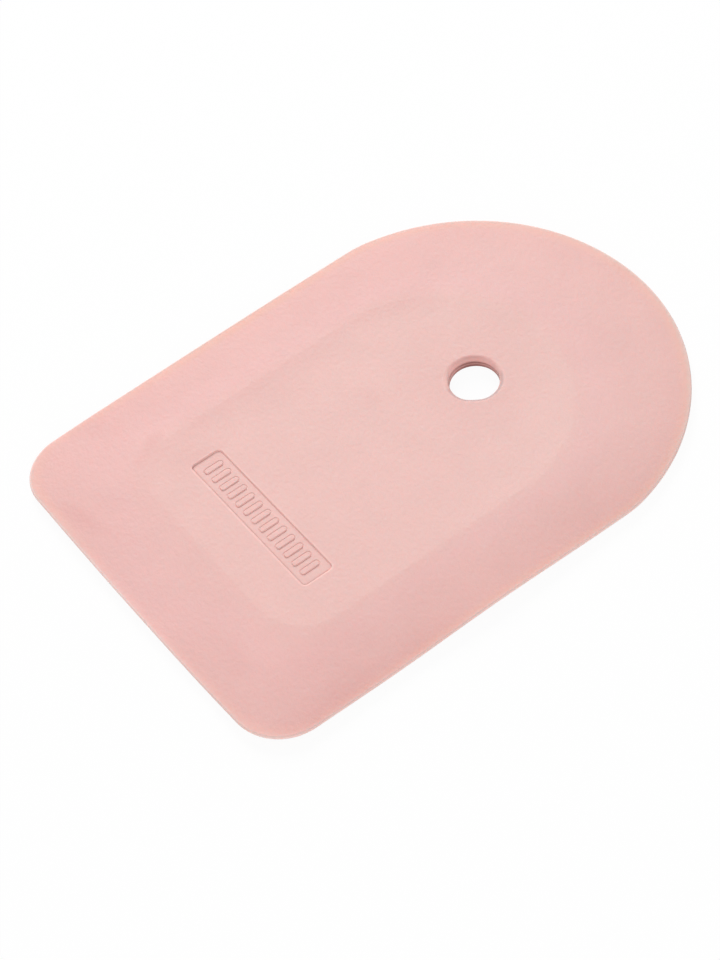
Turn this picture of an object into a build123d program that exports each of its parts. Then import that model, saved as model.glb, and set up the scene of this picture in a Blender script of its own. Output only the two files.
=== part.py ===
from build123d import *
from math import asin, degrees
import os

# Bowl scraper: a soft moulded silicone body round a hidden stiff core.
# X runs across the width, Y from the flat end to the round end, and Z up.
# The origin is under the scraper's middle, on the surface that it lies on.

# Whole scraper, in millimetres
scraper_length = 143.2
flat_end_width = 99.9
round_end_width = 101.2
flat_end_bow = 0.8
corner_radius = 12.0
shoulder_radius = 30.0
thickness = 3.2
edge_thickness = 0.9
edge_chamfer = 0.3

# Flat raised middle, the same on both faces
plateau_width = 63.4
plateau_bow = 0.3
plateau_corner_radius = 12.0
plateau_shoulder_radius = 20.0
flat_end_bevel_width = 20.7
round_end_bevel_width = 28.3

# How high the round end's arc stands above its shoulders, against half its width
round_end_rise_share = 0.87

# The bevel bulges: this far across it from the plateau, it has come down this much of its drop
bevel_middle_share = 0.5
bevel_middle_drop_share = 0.385

# Hanging hole
hole_radius = 5.75
hole_rim_radius = 0.8
hole_from_round_end = 48.3

# Shallow recessed panel near the flat end, with a plain floor
panel_length = 42.8
panel_height = 8.0
panel_depth = 0.3
panel_corner_radius = 1.1
panel_from_flat_end = 35.4

# Stiff core, with slots and holes that the silicone fills, which lock the two together
core_thickness = 1.2
core_inset = 2.5
collar_wall = 2.4
anchor_width = 4.6
anchor_margin = 4.5
anchor_columns = 3
anchor_rows = 2
anchor_row_gap = 6.0
end_anchor_count = 4

# Places that follow from the sizes above
middle_z = thickness / 2
rim_z = middle_z + edge_thickness / 2
wall_z = rim_z - edge_chamfer
bulge_z = thickness - (thickness - rim_z) * bevel_middle_drop_share
flat_end_y = -scraper_length / 2
round_end_y = scraper_length / 2
plateau_flat_y = flat_end_y + flat_end_bevel_width
plateau_round_y = round_end_y - round_end_bevel_width
hole_y = round_end_y - hole_from_round_end
panel_y = flat_end_y + panel_from_flat_end


def outline(z, inset, flat_y, round_y, flat_width, round_width, bow, corner, shoulder):
    """A plan at height z, moved in by inset: a bowed flat end, two sides and a round end."""
    flat_half = flat_width / 2 - inset
    round_half = round_width / 2 - inset
    low_y = flat_y + inset
    high_y = round_y - inset
    corner_y = low_y + bow
    shoulder_y = high_y - round_half * round_end_rise_share
    with BuildSketch(Plane.XY.offset(z)) as plan:
        with BuildLine():
            ThreePointArc((-flat_half, corner_y), (0, low_y), (flat_half, corner_y))
            Line((flat_half, corner_y), (round_half, shoulder_y))
            ThreePointArc((round_half, shoulder_y), (0, high_y), (-round_half, shoulder_y))
            Line((-round_half, shoulder_y), (-flat_half, corner_y))
        make_face()
        fillet(plan.vertices().group_by(Axis.Y)[0], corner - inset)
        fillet(plan.vertices().group_by(Axis.Y)[-1], shoulder - inset)
    return plan.sketch


def rim_outline(z, inset=0):
    """The plan of the thin working edge."""
    return outline(
        z,
        inset,
        flat_end_y,
        round_end_y,
        flat_end_width,
        round_end_width,
        flat_end_bow,
        corner_radius,
        shoulder_radius,
    )


def plateau_outline(z, inset=0):
    """The plan of the flat raised middle."""
    return outline(
        z,
        inset,
        plateau_flat_y,
        plateau_round_y,
        plateau_width,
        plateau_width,
        plateau_bow,
        plateau_corner_radius,
        plateau_shoulder_radius,
    )


def part_way(plateau_size, rim_size):
    """The size that an outline has where the bevel bulges, between the plateau and the rim."""
    return plateau_size + (rim_size - plateau_size) * bevel_middle_share


def bulge_outline(z):
    """The plan of the bevel where it bulges."""
    return outline(
        z,
        0,
        part_way(plateau_flat_y, flat_end_y),
        part_way(plateau_round_y, round_end_y),
        part_way(plateau_width, flat_end_width),
        part_way(plateau_width, round_end_width),
        part_way(plateau_bow, flat_end_bow),
        part_way(plateau_corner_radius, corner_radius),
        part_way(plateau_shoulder_radius, shoulder_radius),
    )


# Places of the core's slots and end holes. One margin keeps them off its outline, the slots off the collar
# and the end holes off the slots.
core_low_z = middle_z - core_thickness / 2
collar_radius = hole_radius + collar_wall
anchor_reach = anchor_margin + anchor_width / 2
slots_low_y = plateau_flat_y + core_inset + anchor_margin
slots_high_y = hole_y - collar_radius - anchor_margin
slot_length = (slots_high_y - slots_low_y - anchor_row_gap * (anchor_rows - 1)) / anchor_rows
slot_x_pitch = (plateau_width - 2 * core_inset - 2 * anchor_reach) / (anchor_columns - 1)
slot_y_pitch = slot_length + anchor_row_gap
end_rise = plateau_width / 2 * round_end_rise_share
end_arc_radius = ((plateau_width / 2) ** 2 + end_rise**2) / (2 * end_rise)
end_anchor_radius = end_arc_radius - core_inset - anchor_reach
end_arc_y = plateau_round_y - end_arc_radius
end_anchor_low_y = slots_high_y + anchor_reach
end_anchor_start_angle = degrees(asin((end_anchor_low_y - end_arc_y) / end_anchor_radius))
end_anchor_sweep_angle = 180 - 2 * end_anchor_start_angle

# Stiffening core: a thin stiff plate that follows the plateau, inside the silicone
with BuildPart() as stiffening_core:
    extrude(plateau_outline(core_low_z, core_inset), amount=core_thickness)
    with Locations((0, hole_y, middle_z)):
        Hole(collar_radius)
    with BuildSketch(Plane.XY.offset(core_low_z)):
        with Locations((0, (slots_low_y + slots_high_y) / 2)):
            with GridLocations(slot_x_pitch, slot_y_pitch, anchor_columns, anchor_rows):
                SlotOverall(slot_length, anchor_width, rotation=90)
        with Locations((0, end_arc_y)):
            with PolarLocations(
                end_anchor_radius,
                end_anchor_count,
                end_anchor_start_angle,
                end_anchor_sweep_angle,
                endpoint=True,
            ):
                Circle(anchor_width / 2)
    extrude(amount=core_thickness, mode=Mode.SUBTRACT)
stiffening_core.part.label = "stiffening_core"

# Upper half of the silicone: the edge's wall and chamfer, then the bevel up to the plateau
with BuildPart() as upper_half:
    extrude(rim_outline(middle_z), amount=wall_z - middle_z)
    loft(sections=[rim_outline(wall_z), rim_outline(rim_z, edge_chamfer)], ruled=True)
    loft(sections=[rim_outline(rim_z, edge_chamfer), bulge_outline(bulge_z), plateau_outline(thickness)])

# Silicone body: two like halves, with the hanging hole, the panel and a hollow that the core fills
with BuildPart() as silicone_body:
    add(upper_half.part)
    mirror(upper_half.part, about=Plane.XY.offset(middle_z))
    with Locations((0, hole_y, middle_z)):
        Hole(hole_radius)
    fillet(silicone_body.edges(Select.LAST).filter_by(GeomType.CIRCLE), hole_rim_radius)
    with BuildSketch(Plane.XY.offset(thickness)):
        with Locations((0, panel_y)):
            RectangleRounded(panel_length, panel_height, panel_corner_radius)
    extrude(amount=-panel_depth, mode=Mode.SUBTRACT)
    add(stiffening_core.part, mode=Mode.SUBTRACT)
silicone_body.part.label = "silicone_body"

os.makedirs("parts", exist_ok=True)
export_step(stiffening_core.part, "parts/stiffening_core.step")
export_step(silicone_body.part, "parts/silicone_body.step")
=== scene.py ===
import math

import bpy
import numpy as np
from mathutils import Matrix, Vector
from mathutils.geometry import delaunay_2d_cdt


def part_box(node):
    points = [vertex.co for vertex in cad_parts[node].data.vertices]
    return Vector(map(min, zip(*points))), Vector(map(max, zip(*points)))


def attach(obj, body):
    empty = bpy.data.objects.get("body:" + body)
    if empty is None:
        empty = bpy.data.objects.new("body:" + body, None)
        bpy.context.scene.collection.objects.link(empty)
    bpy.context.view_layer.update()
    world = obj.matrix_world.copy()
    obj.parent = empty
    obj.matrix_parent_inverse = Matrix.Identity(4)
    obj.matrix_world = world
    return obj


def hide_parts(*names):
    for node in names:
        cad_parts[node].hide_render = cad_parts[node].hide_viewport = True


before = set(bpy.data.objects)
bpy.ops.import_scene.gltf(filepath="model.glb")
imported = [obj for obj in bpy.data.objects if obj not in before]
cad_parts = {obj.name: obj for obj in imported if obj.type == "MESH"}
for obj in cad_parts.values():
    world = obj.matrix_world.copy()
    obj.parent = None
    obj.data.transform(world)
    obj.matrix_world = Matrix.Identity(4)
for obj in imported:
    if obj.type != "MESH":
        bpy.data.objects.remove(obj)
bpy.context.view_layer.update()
MM = 0.001

# Sizes of the silicone that the frame gives
body_low, body_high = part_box("silicone_body")
FLAT_END_Y = body_low.y
ROUND_END_Y = body_high.y
THICKNESS = body_high.z
MIDDLE_Z = THICKNESS / 2

# The outlines of the working edge and of the flat raised middle
FLAT_END_WIDTH = 99.9 * MM
ROUND_END_WIDTH = 101.2 * MM
FLAT_END_BOW = 0.8 * MM
CORNER_RADIUS = 12.0 * MM
SHOULDER_RADIUS = 30.0 * MM
ROUND_END_RISE_SHARE = 0.87
PLATEAU_X = -0.45 * MM
PLATEAU_WIDTH = 63.4 * MM
PLATEAU_BOW = 0.3 * MM
PLATEAU_CORNER_RADIUS = 12.0 * MM
PLATEAU_SHOULDER_RADIUS = 20.0 * MM
PLATEAU_FLAT_Y = FLAT_END_Y + 20.7 * MM
PLATEAU_ROUND_Y = ROUND_END_Y - 28.3 * MM

# The bevel: how much of its drop is a straight slope on the sides and at the flat end, the rest
# being a bulge, and how soft its top crease is
EDGE_THICKNESS = 0.9 * MM
EDGE_RADIUS = EDGE_THICKNESS / 2
BEVEL_DROP = MIDDLE_Z - EDGE_RADIUS
SIDE_SLOPE_SHARE = 0.54
FLAT_END_SLOPE_SHARE = 1.0
CREASE_SOFT_SHARE = 0.015

# How far the silicone's colour has deepened at the crease, partly the step where the core ends and
# partly painted shade darkening the middle into the crease, how much painted shade darkens the left
# crease on both sides, how far the colour has deepened at the flat end's crease, and how much less it
# deepens towards the flat end
CREASE_DEEPENING_AND_SHADE = 0.03
LEFT_CREASE_SHADE = 0.035
LEFT_CREASE_WIDTH = 0.05
FLAT_END_CREASE_DEEPENING = 0.02
FLAT_END_CREASE_WIDTH = 0.04
FLAT_END_EVENNESS = 0.8

# The edge band of painted light, paler and warmer as if lit through the thin silicone: where it
# starts and how wide it is, as shares of the bevel, how much paler it is painted, and how warm,
# which is most on the left, where it is also wider, and least at the flat end
EDGE_START = 0.90
EDGE_WIDTH = 0.06
EDGE_PAINTED_LIGHT = 0.035
EDGE_TINT_SHARE = 0.65
EDGE_LEFT_TINT_SHARE = 0.35
EDGE_LEFT_TINT_WIDENING = 0.05
EDGE_FLAT_END_TINT_EASING = 0.5

# The outermost rim is painted paler still, a painted highlight, except on the left. It has lost part
# of the edge's warm tint and takes on the cool tint of the side's painted light, most of all at its
# far side, on the left and at the round end.
RIM_START = 0.975
RIM_PAINTED_LIGHT = 0.12
RIM_SIDE_TINT_SHARE = 0.4
RIM_FAR_TINT_SHARE = 0.6
RIM_EDGE_TINT_EASING = 0.5

# The edge's side carries the strongest painted light, a little more at the flat end and a little less
# at the low corner, between the flat end and the right side
EDGE_SIDE_PAINTED_LIGHT = 0.32
EDGE_SIDE_FLAT_END_PAINTED_LIGHT = 0.1
EDGE_SIDE_LOW_CORNER_EASING = 0.08

# The flat middle is sunk a little inside its crease
DISH_DEPTH = 0.05 * MM
DISH_WIDTH = 6.5 * MM
DISH_STEPS = 6
MIDDLE_TOP_Z = THICKNESS - DISH_DEPTH

# The soft edge isn't quite level: x, y, lift and reach of each wave in it, in millimetres
EDGE_WAVES = (
    (46, -68, 0.20, 12),
    (26, -71, -0.25, 10),
    (50, -38, -0.35, 14),
    (50, -11, 0.45, 12),
    (50, 22, -0.25, 12),
    (46, 44, -0.15, 10),
    (18, 68, 0.25, 14),
    (-50, -66, -0.50, 9),
    (-50, -8, 0.12, 18),
    (-50, 32, -0.20, 12),
)

# The hanging hole: its lower half stands a little aside, and its soft mouth is a little out of round
HOLE_X = 0.07 * MM
HOLE_Y = ROUND_END_Y - 48.33 * MM
HOLE_LOWER_SHIFT_X = 0.03 * MM
HOLE_LOWER_SHIFT_Y = 0.18 * MM
HOLE_MOUTH_RADIUS = 7.05 * MM
HOLE_MOUTH_ROUNDING = 1.2 * MM
HOLE_MOUTH_FLAT_TURN = math.radians(322)
HOLE_MOUTH_FLAT_REACH = math.radians(12)
HOLE_MOUTH_FLAT_DEPTH = 0.26 * MM
HOLE_SEAM_RADIUS = 5.76 * MM
HOLE_LOWER_WALL_RADIUS = 5.8 * MM
HOLE_FOOT_RADIUS = 6.36 * MM
HOLE_FOOT_ROUNDING = 0.65 * MM
HOLE_LOWER_ROOM_TURN = math.radians(250)
HOLE_LOWER_ROOM_REACH = math.radians(18)
HOLE_LOWER_ROOM_DEPTH = 0.14 * MM
HOLE_SEAM_LEDGE = 0.07 * MM

# How dark the hole's wall is painted at each depth, as painted shade: a dark band at the mould seam
# half way, and a dark lower half
HOLE_SHADES = (
    (0.0, 0.0),
    (0.3 * MM, 0.1),
    (0.92 * MM, 0.1),
    (1.35 * MM, 1.0),
    (1.65 * MM, 1.0),
    (1.85 * MM, 0.63),
    (2.05 * MM, 0.63),
    (2.35 * MM, 1.0),
    (3.2 * MM, 1.0),
)

# The wall's far side is painted the darkest and reddest, as painted shade, its two sides get painted
# light, one of them more than the other, and its near rim is painted dull, as painted shade. The
# sharpnesses say how suddenly each part ends round the hole. The colour depth is where the wall's
# painted colours have come in, and the painted light of the lip, a painted highlight, is that of the
# far lip.
HOLE_FAR_TURN = math.radians(148)
HOLE_SIDE_TURN = math.radians(158)
HOLE_NEAR_TURN = math.radians(342)
HOLE_SIDE_SHADE_SHARE = 0.45
HOLE_SIDE_PAINTED_LIGHT = 0.26
HOLE_SIDE_PAINTED_LIGHT_TILT = 0.35
HOLE_SIDE_SHARPNESS = 2.5
HOLE_TILT_SHARPNESS = 3
HOLE_NEAR_SHARPNESS = 0.6
HOLE_WALL_COLOUR_DEPTH = 0.2 * MM
HOLE_LIP_PAINTED_LIGHT = 0.05

# How far the near rim is painted dull, as painted shade, at each depth
HOLE_RIM_DEPTHS = (0.0, 0.04 * MM, 0.2 * MM, 0.45 * MM)
HOLE_RIM_SHARES = (0.0, 1.0, 1.0, 0.0)

# The recessed panel, with a row of plain ribs on its floor
PANEL_X = -0.6 * MM
PANEL_Y = FLAT_END_Y + 35.35 * MM
PANEL_LENGTH = 42.8 * MM
PANEL_HEIGHT = 8.0 * MM
PANEL_DEPTH = 0.3 * MM
PANEL_CORNER_RADIUS = 1.1 * MM
PANEL_WALL_DRAFT = 0.06 * MM
PANEL_ROUNDING = 0.08 * MM
GROOVE_WIDTH = 0.3 * MM
GROOVE_DEPTH = 0.05 * MM
RIB_COUNT = 13
RIB_PITCH = 3.0 * MM
RIB_WIDTH = 1.3 * MM
RIB_LENGTH = 4.8 * MM
RIB_HEIGHT = 0.2 * MM
RIB_CORNER_SHARE = 0.45
RIB_ROUNDING = 0.06 * MM
RIB_GROOVE_WIDTH = 0.25 * MM
RIB_GROOVE_DEPTH = 0.08 * MM

# A groove's floor lies between these shares of its width
GROOVE_FLOOR_START_SHARE = 0.2
GROOVE_FLOOR_END_SHARE = 0.7

# A rib's side from its foot to its flat top: shares of its rounding, inwards, and of its height
RIB_SIDE_SHARES = ((0, 0), (0.5, 0.5), (1, 0.9), (1.8, 1), (2.6, 1))

# Painted light on the panel: how much paler its lip is painted, how soon that ends outside it, and
# how far painted light and shade even out the brightness of the long walls
PANEL_LIP_PAINTED_LIGHT = 0.08
PANEL_LIP_FADE = 0.175 * MM
PANEL_WALL_PAINTED_LIGHT_AND_SHADE = 0.09

# How finely the mesh follows the shape
FLAT_STEPS = 40
CORNER_STEPS = 18
SIDE_STEPS = 64
SHOULDER_STEPS = 20
END_STEPS = 40
BEVEL_STEPS = 26
EDGE_STEPS = 12
HOLE_STEPS = 96
HOLE_ROUNDING_STEPS = 9
HOLE_WALL_STEPS = 10
PANEL_CORNER_STEPS = 6

# Width of the plain ring that parts each curved piece from the flat fill round it
GUARD = 0.35 * MM

# Colours of the silicone as it deepens: palest over the core, with a step where the core ends,
# and deepest at the thin edge. The same ramp also gives the painted shade at the creases and on
# the hole's far wall
SILICONE_DEEPENING = (
    (0.0, (0.873, 0.538, 0.497)),
    (0.03, (0.871, 0.533, 0.493)),
    (0.06, (0.867, 0.520, 0.483)),
    (0.2, (0.873, 0.511, 0.483)),
    (0.45, (0.857, 0.499, 0.466)),
    (1.0, (0.849, 0.479, 0.442)),
)

# Tints: the edge's painted light is warmer, the painted light on its side is cooler, the round end
# is cooler, and the painted shade on the hole's wall and its near rim is darker
EDGE_PAINTED_LIGHT_TINT = (1.0, 1.0, 0.915, 1)
SIDE_PAINTED_LIGHT_TINT = (0.83, 1.0, 1.0, 1)
COOL_TINT = (0.965, 1.0, 1.0, 1)
HOLE_SHADE_TINT = (0.35, 0.24, 0.225, 1)
HOLE_RIM_SHADE_TINT = (0.60, 0.67, 0.71, 1)

# The silicone's mottled colour, its fine grain and how it takes light
MOTTLE_SIZE = 9 * MM
MOTTLE_RANGE = 0.075
MOTTLE_DETAIL = 6.0
GRAIN_SIZE = 1.1 * MM
GRAIN_HEIGHT = 0.08 * MM
SILICONE_ROUGHNESS = 0.6
SILICONE_SPECULAR = 0.5
SILICONE_SUBSURFACE = 0.25
SILICONE_SUBSURFACE_SHARES = (1.0, 0.45, 0.35)
SILICONE_SUBSURFACE_DEPTH = 1.2 * MM

# Detail of the grain of both materials
GRAIN_DETAIL = 2.0

# Patches of painted shade on the upper face, with a few faint smudges, and lighter patches of painted
# light: x, y, half length, half width, turn in degrees, and how much darker each is in its middle
SMUDGES_AND_PAINTED_SHADE = (
    (-42, 32, 34, 18, 80, 0.075),
    (-42, -5, 75, 15, 90, 0.045),
    (-28, -8, 60, 9, 90, 0.035),
    (-47, -54, 30, 14, 85, 0.065),
    (-27, -67, 11, 3.0, 16, 0.11),
    (-23, -38, 9, 6, 90, 0.05),
    (-34, -42, 4.5, 2.2, 100, 0.06),
    (-32, -45, 8, 2.4, 113, 0.07),
    (-11, 2, 5, 4, 20, 0.05),
    (-27, 26, 9, 6, 60, 0.035),
    (-3, 22, 24, 18, 0, 0.055),
    (-8, 38, 16, 10, 10, 0.03),
    (26, 26, 42, 16, 100, -0.05),
    (36, 46, 30, 14, 125, -0.06),
    (10, 64, 30, 12, 170, -0.04),
    (48, 42, 10, 3.5, 110, 0.07),
    (49, -55, 22, 8, 90, 0.12),
    (49, -33, 18, 6, 90, 0.08),
    (38, -50, 16, 9, 90, 0.06),
    (26, -62, 10, 4, 0, 0.04),
    (-1, 70, 6, 2.5, 0, 0.06),
)

# How far a patch of painted shade or a smudge darkens red, green and blue, and how far its outline
# wanders
SHADE_PATCH_SHARES = (0.45, 1.0, 1.0)
PATCH_WANDER = 3 * MM
PATCH_WANDER_DETAIL = 3.0

# The core's nylon: two colours in soft clouds, its grain and its roughness
CORE_DARK = (0.80, 0.78, 0.71, 1)
CORE_PALE = (0.84, 0.82, 0.77, 1)
CORE_CLOUD_SIZE = 14 * MM
CORE_CLOUD_DETAIL = 4.0
CORE_GRAIN_SIZE = 0.8 * MM
CORE_GRAIN_HEIGHT = 0.03 * MM
CORE_ROUGHNESS = 0.5

# Floor, just under the object, and how much of its shown colour is plain white
FLOOR_HALF_SIZE = 1.5
FLOOR_Z = -0.02 * MM
FLOOR_PAINT = (0.97, 0.97, 0.97, 1)
FLOOR_SHOWN_SHARE = 0.94

# Surroundings and two softboxes, whose azimuth is measured from +X towards +Y
WHITE = (1, 1, 1, 1)
WORLD_LIGHT = 0.47
KEY_WATTS = 54.0
FILL_WATTS = 22.0
SOFTBOX_SIZE = 1.0
SOFTBOX_DISTANCE = 2.5
KEY_AZIMUTH = math.radians(155)
KEY_ELEVATION = math.radians(27)
FILL_AZIMUTH = math.radians(-31)
FILL_ELEVATION = math.radians(18)

# Camera, at the photograph's angle
CAMERA_AZIMUTH = math.radians(59.09)
CAMERA_ELEVATION = math.radians(52.73)
CAMERA_ROLL = math.radians(-8.14)
CAMERA_DISTANCE = 603.9 * MM
CAMERA_LENS_MM = 101.05
CAMERA_SENSOR_MM = 36
CAMERA_TARGET_SHIFT = 0.265 * MM
CAMERA_SHIFT_RIGHT = 7.62 * MM
CAMERA_SHIFT_UP = 10.03 * MM


def circle_arc(centre, radius, start, end, steps):
    """Points on a circle from one angle to another, without the last one."""
    angles = np.linspace(start, end, steps, endpoint=False)
    return np.stack([centre[0] + radius * np.cos(angles), centre[1] + radius * np.sin(angles)], 1)


def fillet_centre(side_start, side_direction, inward, fillet, centre, radius, far):
    """Where a fillet sits between a straight side and a big arc round it."""
    offset = side_start + inward * fillet - centre
    along = offset @ side_direction
    rest = offset @ offset - (radius - fillet) ** 2
    root = math.sqrt(along * along - rest)
    return side_start + inward * fillet + side_direction * (-along + (root if far else -root))


def outline(inset, flat_y, round_y, flat_width, round_width, bow, corner, shoulder):
    """The closed plan, anticlockwise from the middle of the flat end, with the same steps each time."""
    flat_half = flat_width / 2 - inset
    round_half = round_width / 2 - inset
    flat_y = flat_y + inset
    round_y = round_y - inset
    corner = corner - inset
    shoulder = shoulder - inset
    rise = round_half * ROUND_END_RISE_SHARE
    flat_radius = (flat_half**2 + bow**2) / (2 * bow)
    round_radius = (round_half**2 + rise**2) / (2 * rise)
    flat_centre = np.array([0, flat_y + flat_radius])
    round_centre = np.array([0, round_y - round_radius])
    low = np.array([flat_half, flat_y + bow])
    high = np.array([round_half, round_y - rise])
    direction = (high - low) / np.linalg.norm(high - low)
    inward = np.array([-direction[1], direction[0]])
    outward_angle = math.atan2(-inward[1], -inward[0])
    corner_centre = fillet_centre(low, direction, inward, corner, flat_centre, flat_radius, False)
    shoulder_centre = fillet_centre(low, direction, inward, shoulder, round_centre, round_radius, True)
    corner_angle = math.atan2(*(corner_centre - flat_centre)[::-1])
    shoulder_angle = math.atan2(*(shoulder_centre - round_centre)[::-1])
    side_low = corner_centre - inward * corner
    side_high = shoulder_centre - inward * shoulder
    shares = np.linspace(0, 1, SIDE_STEPS, endpoint=False)[:, None]
    half = np.concatenate([
        circle_arc(flat_centre, flat_radius, -math.pi / 2, corner_angle, FLAT_STEPS),
        circle_arc(corner_centre, corner, corner_angle, outward_angle, CORNER_STEPS),
        side_low + (side_high - side_low) * shares,
        circle_arc(shoulder_centre, shoulder, outward_angle, shoulder_angle, SHOULDER_STEPS),
        circle_arc(round_centre, round_radius, shoulder_angle, math.pi / 2, END_STEPS),
        [[0, round_y]],
    ])
    return np.concatenate([half, half[-2:0:-1] * (-1, 1)])


def rim_outline(inset):
    """The plan of the thin working edge."""
    return outline(
        inset,
        FLAT_END_Y,
        ROUND_END_Y,
        FLAT_END_WIDTH,
        ROUND_END_WIDTH,
        FLAT_END_BOW,
        CORNER_RADIUS,
        SHOULDER_RADIUS,
    )


def plateau_outline(inset):
    """The plan of the flat raised middle, which sits a little aside."""
    plan = outline(
        inset,
        PLATEAU_FLAT_Y,
        PLATEAU_ROUND_Y,
        PLATEAU_WIDTH,
        PLATEAU_WIDTH,
        PLATEAU_BOW,
        PLATEAU_CORNER_RADIUS,
        PLATEAU_SHOULDER_RADIUS,
    )
    return plan + np.array([PLATEAU_X, 0])


def rounded_rectangle(centre, length, height, corner):
    """A closed rectangle with round corners, anticlockwise."""
    points = []
    for turn, signs in enumerate(((1, -1), (1, 1), (-1, 1), (-1, -1))):
        x = centre[0] + signs[0] * (length / 2 - corner)
        y = centre[1] + signs[1] * (height / 2 - corner)
        start = (turn - 1) * math.pi / 2
        angles = np.linspace(start, start + math.pi / 2, PANEL_CORNER_STEPS + 1)
        points += [(x + corner * math.cos(angle), y + corner * math.sin(angle)) for angle in angles]
    return np.array(points)


def circle(centre, radius):
    """A closed circle, anticlockwise."""
    return circle_arc(centre, radius, 0, 2 * math.pi, HOLE_STEPS)


def inside(loop, points):
    """Which of the points lie inside a closed loop."""
    found = np.zeros(len(points), bool)
    for (ax, ay), (bx, by) in zip(loop, np.roll(loop, -1, 0)):
        crosses = (ay > points[:, 1]) != (by > points[:, 1])
        if ay != by:
            found ^= crosses & (points[:, 0] < ax + (bx - ax) * (points[:, 1] - ay) / (by - ay))
    return found


class Skin:
    """A closed mesh that is put together from loops of points."""

    def __init__(self):
        self.points = []
        self.faces = []
        self.marks = {"deepening": [], "edge": [], "side": [], "glow": [], "painted_hole_shade": [], "rim": []}

    def loop(self, plan, heights, **marks):
        """Adds a closed loop: its plan, its height or heights, and how far each mark applies there."""
        first = len(self.points)
        heights = np.broadcast_to(heights, len(plan))
        self.points += [(x, y, z) for (x, y), z in zip(plan, heights)]
        for name, values in self.marks.items():
            values += list(np.broadcast_to(marks.get(name, 0.0), len(plan)))
        return list(range(first, len(self.points)))

    def band(self, outer, inner):
        """Joins two loops of as many points. The faces turn up where the first one is outside."""
        for k in range(len(outer)):
            j = (k + 1) % len(outer)
            self.faces.append((outer[k], outer[j], inner[j], inner[k]))

    def fill(self, outer, holes, up):
        """Fills the flat region inside one loop and outside the others."""
        loops = [outer, *holes]
        ids = [i for loop in loops for i in loop]
        place = {v: k for k, v in enumerate(ids)}
        edges = [(place[a], place[b]) for loop in loops for a, b in zip(loop, loop[1:] + loop[:1])]
        flat = [Vector(self.points[i][:2]) for i in ids]
        made = delaunay_2d_cdt(flat, edges, [], 0, 1e-9)
        corners = np.array([list(f) for f in made[2]])
        source = [o[0] for o in made[3]]
        plan = np.array([(v.x, v.y) for v in made[0]])
        middles = plan[corners].mean(1)
        kept = inside(np.array([self.points[i][:2] for i in outer]), middles)
        for hole in holes:
            kept &= ~inside(np.array([self.points[i][:2] for i in hole]), middles)
        for face in corners[kept]:
            face = [ids[source[k]] for k in face]
            self.faces.append(tuple(face if up else face[::-1]))

    def build(self, name):
        """Makes the mesh object, with smooth shading."""
        mesh = bpy.data.meshes.new(name)
        mesh.from_pydata(self.points, [], self.faces)
        for mark, values in self.marks.items():
            layer = mesh.attributes.new(mark, "FLOAT", "POINT")
            layer.data.foreach_set("value", np.array(values, np.float32))
        mesh.shade_smooth()
        mesh.validate()
        piece = bpy.data.objects.new(name, mesh)
        bpy.context.scene.collection.objects.link(piece)
        return piece


def edge_lift(plan):
    """How far the soft edge is lifted out of level at each point of its plan."""
    lift = np.zeros(len(plan))
    for x, y, height, reach in EDGE_WAVES:
        distance = np.linalg.norm(plan - np.array([x, y]) * MM, axis=1)
        lift += height * MM * np.exp(-0.5 * (distance / (reach * MM)) ** 2)
    return lift


def bevel_drop(share, straight):
    """How far the bevel has come down at this share of its width, from the plateau."""
    soft = math.sqrt(share**2 + CREASE_SOFT_SHARE**2) - CREASE_SOFT_SHARE
    return BEVEL_DROP * (straight * soft + (1 - straight) * soft**2)


def bevel_marks(share, flat_end, round_end, left):
    """The marks at this share of the bevel's width, from how far each point faces three sides."""
    edge_share = min(max((share - EDGE_START) / EDGE_WIDTH, 0), 1)
    rim_share = max(share - RIM_START, 0) / (1 - RIM_START)
    tint_start = EDGE_START - EDGE_LEFT_TINT_WIDENING * left
    tint_share = np.clip((share - tint_start) / EDGE_WIDTH, 0, 1)
    tint = EDGE_TINT_SHARE + EDGE_LEFT_TINT_SHARE * left - EDGE_FLAT_END_TINT_EASING * flat_end
    evenness = 1 - FLAT_END_EVENNESS * flat_end
    deepening = CREASE_DEEPENING_AND_SHADE + (1 - CREASE_DEEPENING_AND_SHADE) * share * evenness
    # Painted shade just outside the left crease
    left_crease_shade = LEFT_CREASE_SHADE * left * max(1 - share / LEFT_CREASE_WIDTH, 0)
    at_flat_end = FLAT_END_CREASE_DEEPENING * flat_end * min(share / FLAT_END_CREASE_WIDTH, 1)
    return {
        "deepening": deepening + left_crease_shade + at_flat_end,
        "edge": (tint_share - RIM_EDGE_TINT_EASING * rim_share) * tint,
        "side": rim_share * (RIM_SIDE_TINT_SHARE + RIM_FAR_TINT_SHARE * (left + round_end)),
        "glow": EDGE_PAINTED_LIGHT * edge_share + RIM_PAINTED_LIGHT * rim_share * (1 - left),
    }


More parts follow.
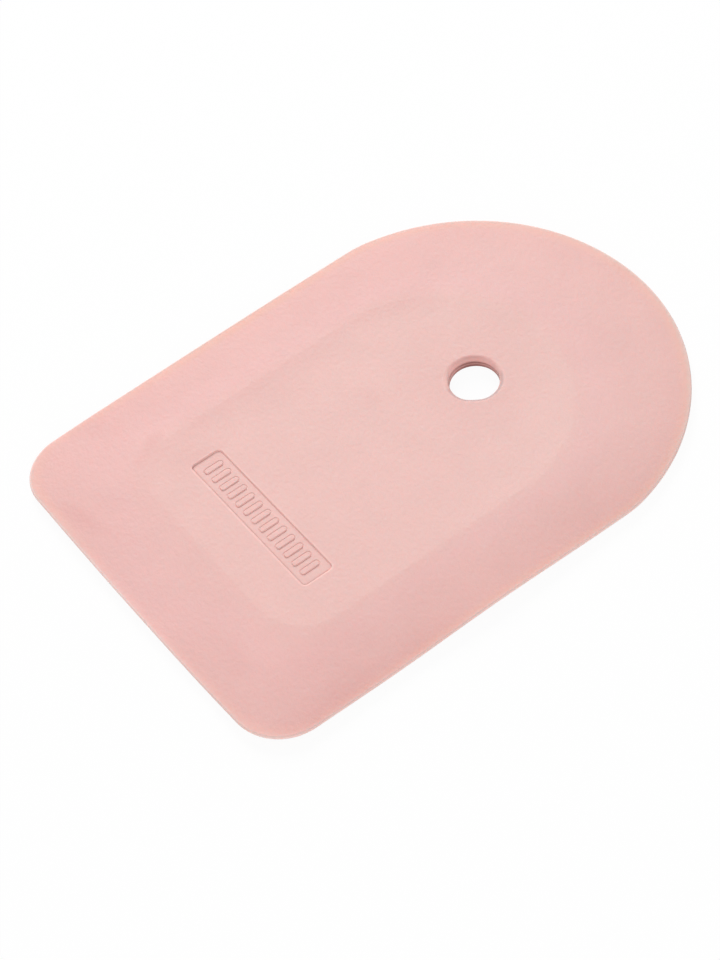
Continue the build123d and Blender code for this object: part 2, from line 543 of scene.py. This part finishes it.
def bevel_loops(skin):
    """The loops from the upper crease over the bevel, round the edge and back to the lower crease."""
    crease = plateau_outline(0)
    rim = rim_outline(EDGE_RADIUS)
    lift = edge_lift(rim_outline(0))
    outward = (rim - crease) / np.linalg.norm(rim - crease, axis=1)[:, None]
    right, round_end = (np.clip(outward, 0, 1) ** 2).T
    left, flat_end = (np.clip(-outward, 0, 1) ** 2).T

    # One half-way between the flat end and the right side, and nothing beyond them
    low_corner = 4 * flat_end * right
    # Painted light that makes the edge's side paler
    side_glow = EDGE_SIDE_PAINTED_LIGHT + EDGE_SIDE_FLAT_END_PAINTED_LIGHT * flat_end
    side_glow -= EDGE_SIDE_LOW_CORNER_EASING * low_corner

    straight = SIDE_SLOPE_SHARE + (FLAT_END_SLOPE_SHARE - SIDE_SLOPE_SHARE) * flat_end
    top, bottom = [], []
    for k in range(BEVEL_STEPS + 1):
        share = 0.5 - 0.5 * math.cos(math.pi * k / BEVEL_STEPS)
        plan = crease + (rim - crease) * share
        rise = lift * share**2
        drop = bevel_drop(share, straight)
        marks = bevel_marks(share, flat_end, round_end, left)
        top.append(skin.loop(plan, THICKNESS - drop + rise, **marks))
        bottom.append(skin.loop(plan, drop + rise, **marks))
    edge = []
    edge_half_height = THICKNESS - bevel_drop(1, straight) - MIDDLE_Z
    edge_marks = {
        "deepening": 1 - FLAT_END_EVENNESS * flat_end,
        "side": 1.0,
        "glow": side_glow,
    }
    for k in range(1, EDGE_STEPS):
        angle = math.pi / 2 - math.pi * k / EDGE_STEPS
        plan = rim_outline(EDGE_RADIUS * (1 - math.cos(angle)))
        heights = MIDDLE_Z + lift + edge_half_height * math.sin(angle)
        edge.append(skin.loop(plan, heights, **edge_marks))
    return top + edge + bottom[::-1]


def plateau_loops(skin):
    """The loops inside the upper crease, down to where the middle is level."""
    loops = []
    for k in range(1, DISH_STEPS + 1):
        inset = DISH_WIDTH * k / DISH_STEPS
        level = 1 - k / DISH_STEPS
        height = THICKNESS - DISH_DEPTH * (1 - level**2)
        plan = plateau_outline(inset)
        facing_left = np.clip((PLATEAU_X - plan[:, 0]) / (PLATEAU_WIDTH / 2 - inset), 0, 1) ** 2
        # Painted shade darkening the middle towards its crease, more on the left, and the core's step
        deepening = (CREASE_DEEPENING_AND_SHADE + LEFT_CREASE_SHADE * facing_left) * level
        loops.append(skin.loop(plan, height, deepening=deepening))
    return loops


def hole_profile():
    """Radius and height down the hole: a round mouth, a wall with a seam ledge, and a round foot."""
    quarter = [math.pi / 2 * k / HOLE_ROUNDING_STEPS for k in range(HOLE_ROUNDING_STEPS + 1)]
    mouth = [
        (
            HOLE_MOUTH_RADIUS - HOLE_MOUTH_ROUNDING * math.sin(angle),
            MIDDLE_TOP_Z - HOLE_MOUTH_ROUNDING * (1 - math.cos(angle)),
        )
        for angle in quarter
    ]
    wall_top = MIDDLE_TOP_Z - HOLE_MOUTH_ROUNDING - HOLE_SEAM_LEDGE
    wall = [
        (HOLE_LOWER_WALL_RADIUS, wall_top + (HOLE_FOOT_ROUNDING - wall_top) * k / HOLE_WALL_STEPS)
        for k in range(1, HOLE_WALL_STEPS)
    ]
    foot = [
        (
            HOLE_FOOT_RADIUS - HOLE_FOOT_ROUNDING * math.sin(angle),
            HOLE_FOOT_ROUNDING * (1 - math.cos(angle)),
        )
        for angle in quarter[::-1]
    ]
    return mouth + [(HOLE_SEAM_RADIUS, wall_top)] + wall + foot


def bump(turns, turn, reach, height):
    """A smooth bump on a round loop, highest at one turn."""
    away = (turns - turn + math.pi) % (2 * math.pi) - math.pi
    return height * np.exp(-0.5 * (away / reach) ** 2)


def hole_rings(skin):
    """The loops down the hole, with its painted shade and light, from the level middle to the lower
    face.
    """
    depths, shades = zip(*HOLE_SHADES)
    turns = np.linspace(0, 2 * math.pi, HOLE_STEPS, endpoint=False)
    flat = bump(turns, HOLE_MOUTH_FLAT_TURN, HOLE_MOUTH_FLAT_REACH, HOLE_MOUTH_FLAT_DEPTH)
    room = bump(turns, HOLE_LOWER_ROOM_TURN, HOLE_LOWER_ROOM_REACH, HOLE_LOWER_ROOM_DEPTH)
    far = np.clip(np.cos(turns - HOLE_FAR_TURN), 0, 1) ** 2
    side = np.clip(0.5 + HOLE_SIDE_SHARPNESS * np.cos(turns - HOLE_SIDE_TURN), 0, 1)
    side *= 1 - far**2
    side *= 1 + HOLE_SIDE_PAINTED_LIGHT_TILT * np.sin(turns - HOLE_FAR_TURN) ** HOLE_TILT_SHARPNESS
    near = np.clip(np.cos(turns - HOLE_NEAR_TURN), 0, 1) ** HOLE_NEAR_SHARPNESS
    side_shade = HOLE_SIDE_SHADE_SHARE + (1 - HOLE_SIDE_SHADE_SHARE) * far
    centre = np.array([HOLE_X, HOLE_Y])
    lower_centre = centre + np.array([HOLE_LOWER_SHIFT_X, HOLE_LOWER_SHIFT_Y])
    rings = [skin.loop(circle(centre, HOLE_MOUTH_RADIUS + GUARD), MIDDLE_TOP_Z)]
    for radius, z in hole_profile():
        depth = MIDDLE_TOP_Z - z
        share = depth / MIDDLE_TOP_Z
        upper = depth <= HOLE_MOUTH_ROUNDING
        middle = centre if upper else lower_centre
        reach = radius - flat * (1 - share) + (0 if upper else room)
        plan = middle + circle((0, 0), 1) * reach[:, None]
        turned = min(depth / HOLE_WALL_COLOUR_DEPTH, 1)
        # Painted shade on the wall and near rim, redder on the far side; painted light on its sides and
        # lip
        marks = {
            "painted_hole_shade": np.interp(depth, depths, shades) * side_shade,
            "deepening": far**2 * turned,
            "glow": HOLE_SIDE_PAINTED_LIGHT * side * turned + HOLE_LIP_PAINTED_LIGHT * (1 - near) * (1 - turned),
            "rim": near * np.interp(depth, HOLE_RIM_DEPTHS, HOLE_RIM_SHARES),
        }
        rings.append(skin.loop(plan, z, **marks))
    rings.append(skin.loop(circle(lower_centre, HOLE_FOOT_RADIUS + GUARD), 0))
    chain(skin, rings)
    return rings[0], rings[-1]


def chain(skin, loops):
    """Joins loops that follow each other."""
    for outer, inner in zip(loops, loops[1:]):
        skin.band(outer, inner)


def rib_loops(skin, x, floor_z):
    """A rounded rib on the panel's floor. Gives its outermost loop."""
    groove_z = floor_z - RIB_GROOVE_DEPTH

    # From outside in, how far out and how high: over the floor and the groove, then up the side
    steps = [
        (GUARD, floor_z),
        (RIB_GROOVE_WIDTH, floor_z),
        (RIB_GROOVE_WIDTH * GROOVE_FLOOR_END_SHARE, groove_z),
        (RIB_GROOVE_WIDTH * GROOVE_FLOOR_START_SHARE, groove_z),
    ]
    steps += [(-RIB_ROUNDING * inwards, floor_z + RIB_HEIGHT * up) for inwards, up in RIB_SIDE_SHARES]
    loops = []
    for grow, z in steps:
        plan = rounded_rectangle(
            (x, PANEL_Y),
            RIB_WIDTH + 2 * grow,
            RIB_LENGTH + 2 * grow,
            RIB_WIDTH * RIB_CORNER_SHARE + grow,
        )
        loops.append(skin.loop(plan, z))
    chain(skin, loops)
    skin.fill(loops[-1], [], True)
    return loops[0]


def panel_loops(skin):
    """The recessed panel with its ribs. Gives its outermost loop."""
    floor_z = MIDDLE_TOP_Z - PANEL_DEPTH
    groove_z = floor_z - GROOVE_DEPTH
    wall_z = floor_z - GROOVE_DEPTH * GROOVE_FLOOR_END_SHARE
    groove_start = PANEL_WALL_DRAFT + GROOVE_WIDTH * GROOVE_FLOOR_START_SHARE
    groove_end = PANEL_WALL_DRAFT + GROOVE_WIDTH * GROOVE_FLOOR_END_SHARE
    floor_start = PANEL_WALL_DRAFT + GROOVE_WIDTH

    # From outside in: how far out and how high, then the painted light of the lip and the painted light
    # and shade of the long walls
    steps = (
        (GUARD + PANEL_LIP_FADE, MIDDLE_TOP_Z, 0, 0),
        (GUARD, MIDDLE_TOP_Z, PANEL_LIP_PAINTED_LIGHT, 0),
        (PANEL_ROUNDING, MIDDLE_TOP_Z, PANEL_LIP_PAINTED_LIGHT, 0),
        (PANEL_ROUNDING / 3, MIDDLE_TOP_Z - PANEL_ROUNDING / 3, 0, PANEL_WALL_PAINTED_LIGHT_AND_SHADE),
        (0, MIDDLE_TOP_Z - PANEL_ROUNDING, 0, PANEL_WALL_PAINTED_LIGHT_AND_SHADE),
        (-PANEL_WALL_DRAFT, wall_z, 0, PANEL_WALL_PAINTED_LIGHT_AND_SHADE),
        (-groove_start, groove_z, 0, PANEL_WALL_PAINTED_LIGHT_AND_SHADE),
        (-groove_end, groove_z, 0, PANEL_WALL_PAINTED_LIGHT_AND_SHADE),
        (-floor_start, floor_z, 0, 0),
        (-floor_start - PANEL_ROUNDING, floor_z, 0, 0),
    )
    loops = []
    for grow, z, lip_glow, wall_glow in steps:
        plan = rounded_rectangle(
            (PANEL_X, PANEL_Y),
            PANEL_LENGTH + 2 * grow,
            PANEL_HEIGHT + 2 * grow,
            PANEL_CORNER_RADIUS + grow,
        )
        toward_round_end = (plan[:, 1] - PANEL_Y) / (PANEL_HEIGHT / 2 + grow)
        loops.append(skin.loop(plan, z, glow=lip_glow + wall_glow * toward_round_end**3))
    chain(skin, loops)
    first_x = PANEL_X - RIB_PITCH * (RIB_COUNT - 1) / 2
    ribs = [rib_loops(skin, first_x + RIB_PITCH * k, floor_z) for k in range(RIB_COUNT)]
    skin.fill(loops[-1], ribs, True)
    return loops[0]


def silicone_body():
    """The whole silicone skin: plateaus, bevels, edge, hole and panel."""
    skin = Skin()
    bevel = bevel_loops(skin)
    plateau = plateau_loops(skin)
    bottom_guard = skin.loop(plateau_outline(GUARD), 0)
    chain(skin, [bottom_guard] + bevel[::-1] + plateau)
    hole_mouth, hole_foot = hole_rings(skin)
    skin.fill(plateau[-1], [hole_mouth, panel_loops(skin)], True)
    skin.fill(bottom_guard, [hole_foot], False)
    return skin.build("silicone_skin")


def feed(tree, socket, value):
    """Sets an input from a value, or links it from another node's socket."""
    if isinstance(value, bpy.types.NodeSocket):
        tree.links.new(value, socket)
    else:
        socket.default_value = value


def linked(tree, kind, **inputs):
    """A node with its named inputs fed."""
    node = tree.nodes.new(kind)
    for name, value in inputs.items():
        feed(tree, node.inputs[name.replace("_", " ")], value)
    return node


def combined(tree, kind, values, operation=None):
    """The result of a node whose first inputs are fed in order."""
    node = tree.nodes.new(kind)
    if operation:
        node.operation = operation
    for socket, value in zip(node.inputs, values):
        feed(tree, socket, value)
    return node.outputs[0]


def calculated(tree, operation, *values):
    """The result of a sum on numbers."""
    return combined(tree, "ShaderNodeMath", values, operation)


def calculated_colour(tree, operation, *values):
    """The result of a sum on colours or places, number by number."""
    return combined(tree, "ShaderNodeVectorMath", values, operation)


def mixed(tree, share, first, second):
    """A shader that goes from the first one to the second as far as the share says."""
    return combined(tree, "ShaderNodeMixShader", (share, first, second))


def attribute(tree, name):
    """A mark that the mesh carries."""
    node = tree.nodes.new("ShaderNodeAttribute")
    node.attribute_name = name
    return node.outputs["Fac"]


def object_place(tree):
    """The place on the object."""
    return tree.nodes.new("ShaderNodeTexCoord").outputs["Object"]


def noise(tree, where, size, detail):
    """The outputs of a soft noise with features of about this size."""
    return linked(tree, "ShaderNodeTexNoise", Vector=where, Scale=1 / size, Detail=detail).outputs


def grained(tree, where, size, height):
    """The normal of a finely grained surface."""
    heights = noise(tree, where, size, GRAIN_DETAIL)["Fac"]
    return linked(tree, "ShaderNodeBump", Height=heights, Distance=height).outputs["Normal"]


def tinted(tree, colour, tint, share):
    """A colour multiplied by a tint, as far as the share says."""
    mix = linked(tree, "ShaderNodeMixRGB", Fac=share, Color1=colour, Color2=tint)
    mix.blend_type = "MULTIPLY"
    return mix.outputs["Color"]


def ramp(tree, share, stops):
    """A colour that follows the stops as the share grows."""
    node = linked(tree, "ShaderNodeValToRGB", Fac=share)
    elements = node.color_ramp.elements
    while len(elements) < len(stops):
        elements.new(0.5)
    for element, (place, colour) in zip(elements, stops):
        element.position = place
        element.color = (*colour, 1)
    return node.outputs["Color"]


def new_material(name):
    """An empty node material and its output node."""
    material = bpy.data.materials.new(name)
    material.use_nodes = True
    material.node_tree.nodes.clear()
    output = material.node_tree.nodes.new("ShaderNodeOutputMaterial")
    return material, material.node_tree, output


def painted_shade_and_smudges(tree, where):
    """How much darker the painted shade and faint smudges make each place, or lighter the painted
    light.
    """
    half = PATCH_WANDER / 2
    shift = noise(tree, where, MOTTLE_SIZE, PATCH_WANDER_DETAIL)["Color"]
    wander = calculated_colour(tree, "MULTIPLY_ADD", shift, (PATCH_WANDER,) * 3, where)
    darker = 0.0
    for x, y, length, width, turn, depth in SMUDGES_AND_PAINTED_SHADE:
        place = linked(
            tree,
            "ShaderNodeMapping",
            Vector=wander,
            Location=(x * MM + half, y * MM + half, THICKNESS + half),
            Rotation=(0, 0, math.radians(turn)),
            Scale=(length * MM, width * MM, THICKNESS),
        )
        place.vector_type = "TEXTURE"
        blob = linked(tree, "ShaderNodeTexGradient", Vector=place.outputs[0])
        blob.gradient_type = "SPHERICAL"
        darker = calculated(tree, "MULTIPLY_ADD", blob.outputs["Fac"], depth, darker)
    return darker


def silicone_colour(tree, where):
    """The silicone's colour and painted light and shade tints, before mottle and smudges, from the
    mesh's marks.
    """
    along = linked(tree, "ShaderNodeSeparateXYZ", Vector=where).outputs["Y"]
    cooler = linked(tree, "ShaderNodeMapRange", Value=along, From_Min=FLAT_END_Y, From_Max=ROUND_END_Y)
    colour = ramp(tree, attribute(tree, "deepening"), SILICONE_DEEPENING)
    colour = tinted(tree, colour, COOL_TINT, cooler.outputs["Result"])
    colour = tinted(tree, colour, EDGE_PAINTED_LIGHT_TINT, attribute(tree, "edge"))
    colour = tinted(tree, colour, SIDE_PAINTED_LIGHT_TINT, attribute(tree, "side"))
    colour = tinted(tree, colour, HOLE_SHADE_TINT, attribute(tree, "painted_hole_shade"))
    return tinted(tree, colour, HOLE_RIM_SHADE_TINT, attribute(tree, "rim"))


def silicone_material():
    """Matte pink silicone: paler over the core, mottled, smudged, with painted light and shade, finely
    grained.
    """
    material, tree, output = new_material("pink_silicone")
    where = object_place(tree)
    mottle = noise(tree, where, MOTTLE_SIZE, MOTTLE_DETAIL)["Fac"]
    shade = calculated(tree, "MULTIPLY_ADD", mottle, MOTTLE_RANGE, 1 - MOTTLE_RANGE / 2)
    # Painted light, and painted shade where the mark is below nought, on top of the mottle
    shade = calculated(tree, "ADD", shade, attribute(tree, "glow"))
    darkening = [-share for share in SHADE_PATCH_SHARES]
    shades = calculated_colour(tree, "MULTIPLY_ADD", painted_shade_and_smudges(tree, where), darkening, shade)
    shader = linked(
        tree,
        "ShaderNodeBsdfPrincipled",
        Base_Color=calculated_colour(tree, "MULTIPLY", silicone_colour(tree, where), shades),
        Roughness=SILICONE_ROUGHNESS,
        Normal=grained(tree, where, GRAIN_SIZE, GRAIN_HEIGHT),
        Specular_IOR_Level=SILICONE_SPECULAR,
        Subsurface_Weight=SILICONE_SUBSURFACE,
        Subsurface_Radius=SILICONE_SUBSURFACE_SHARES,
        Subsurface_Scale=SILICONE_SUBSURFACE_DEPTH,
    )
    tree.links.new(shader.outputs["BSDF"], output.inputs["Surface"])
    return material


def core_material():
    """Natural off-white nylon, slightly cloudy, with a fine grain."""
    material, tree, output = new_material("off_white_nylon")
    where = object_place(tree)
    clouds = noise(tree, where, CORE_CLOUD_SIZE, CORE_CLOUD_DETAIL)["Fac"]
    colour = linked(tree, "ShaderNodeMixRGB", Fac=clouds, Color1=CORE_DARK, Color2=CORE_PALE)
    shader = linked(
        tree,
        "ShaderNodeBsdfPrincipled",
        Base_Color=colour.outputs["Color"],
        Roughness=CORE_ROUGHNESS,
        Normal=grained(tree, where, CORE_GRAIN_SIZE, CORE_GRAIN_HEIGHT),
    )
    tree.links.new(shader.outputs["BSDF"], output.inputs["Surface"])
    return material


def camera_axes():
    """The camera's right, up and backward directions."""
    across = math.cos(CAMERA_ELEVATION)
    back = Vector((
        math.sin(CAMERA_AZIMUTH) * across,
        -math.cos(CAMERA_AZIMUTH) * across,
        math.sin(CAMERA_ELEVATION),
    ))
    level = Vector((math.cos(CAMERA_AZIMUTH), math.sin(CAMERA_AZIMUTH), 0))
    right = level * math.cos(CAMERA_ROLL) + back.cross(level) * math.sin(CAMERA_ROLL)
    return right, back.cross(right), back


def add_camera():
    """The camera at the photograph's viewing angle."""
    right, up, back = camera_axes()
    target = Vector((0, (FLAT_END_Y + ROUND_END_Y) / 2 + CAMERA_TARGET_SHIFT, MIDDLE_Z))
    data = bpy.data.cameras.new("camera")
    data.lens = CAMERA_LENS_MM
    data.sensor_width = CAMERA_SENSOR_MM
    camera = bpy.data.objects.new("camera", data)
    place = target + back * CAMERA_DISTANCE - right * CAMERA_SHIFT_RIGHT - up * CAMERA_SHIFT_UP
    turn = Matrix((right, up, back)).transposed().to_4x4()
    camera.matrix_world = Matrix.Translation(place) @ turn
    bpy.context.scene.collection.objects.link(camera)
    bpy.context.scene.camera = camera


def add_floor():
    """A plain white floor that keeps a faint shadow. The camera, mirrors and glass see it whiter."""
    mesh = bpy.data.meshes.new("floor")
    signs = ((-1, -1), (1, -1), (1, 1), (-1, 1))
    corners = [(FLOOR_HALF_SIZE * x, FLOOR_HALF_SIZE * y, FLOOR_Z) for x, y in signs]
    mesh.from_pydata(corners, [], [(0, 1, 2, 3)])
    floor = bpy.data.objects.new("floor", mesh)
    bpy.context.scene.collection.objects.link(floor)
    material, tree, output = new_material("white_floor")
    white = linked(tree, "ShaderNodeEmission", Color=WHITE, Strength=1.0)
    paint = linked(tree, "ShaderNodeBsdfDiffuse", Color=FLOOR_PAINT)
    path = tree.nodes.new("ShaderNodeLightPath").outputs
    seen = calculated(tree, "MAXIMUM", path["Is Camera Ray"], path["Is Glossy Ray"])
    seen = calculated(tree, "MAXIMUM", seen, path["Is Transmission Ray"])
    share = calculated(tree, "MULTIPLY", seen, FLOOR_SHOWN_SHARE)
    surface = mixed(tree, share, paint.outputs[0], white.outputs[0])
    tree.links.new(surface, output.inputs["Surface"])
    mesh.materials.append(material)


def add_world():
    """White surroundings, which light the object less than they show."""
    world = bpy.data.worlds.new("surroundings")
    world.use_nodes = True
    tree = world.node_tree
    tree.nodes.clear()
    output = tree.nodes.new("ShaderNodeOutputWorld")
    shown = linked(tree, "ShaderNodeBackground", Color=WHITE, Strength=1.0)
    light = linked(tree, "ShaderNodeBackground", Color=WHITE, Strength=WORLD_LIGHT)
    path = tree.nodes.new("ShaderNodeLightPath").outputs
    surface = mixed(tree, path["Is Camera Ray"], light.outputs[0], shown.outputs[0])
    tree.links.new(surface, output.inputs["Surface"])
    bpy.context.scene.world = world


def add_softbox(name, watts, azimuth, elevation):
    """A square softbox that points at the object."""
    data = bpy.data.lights.new(name, "AREA")
    data.energy = watts
    data.size = SOFTBOX_SIZE
    lamp = bpy.data.objects.new(name, data)
    toward = Vector((
        math.cos(azimuth) * math.cos(elevation),
        math.sin(azimuth) * math.cos(elevation),
        math.sin(elevation),
    ))
    lamp.location = toward * SOFTBOX_DISTANCE
    lamp.rotation_euler = toward.to_track_quat("Z", "Y").to_euler()
    bpy.context.scene.collection.objects.link(lamp)


add_camera()
add_floor()
add_world()
add_softbox("key_softbox", KEY_WATTS, KEY_AZIMUTH, KEY_ELEVATION)
add_softbox("fill_softbox", FILL_WATTS, FILL_AZIMUTH, FILL_ELEVATION)

body = silicone_body()
body.data.materials.append(silicone_material())
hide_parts("silicone_body")
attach(body, "root")

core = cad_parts["stiffening_core"]
core.data.materials.clear()
core.data.materials.append(core_material())

bpy.context.scene.view_settings.view_transform = "Standard"
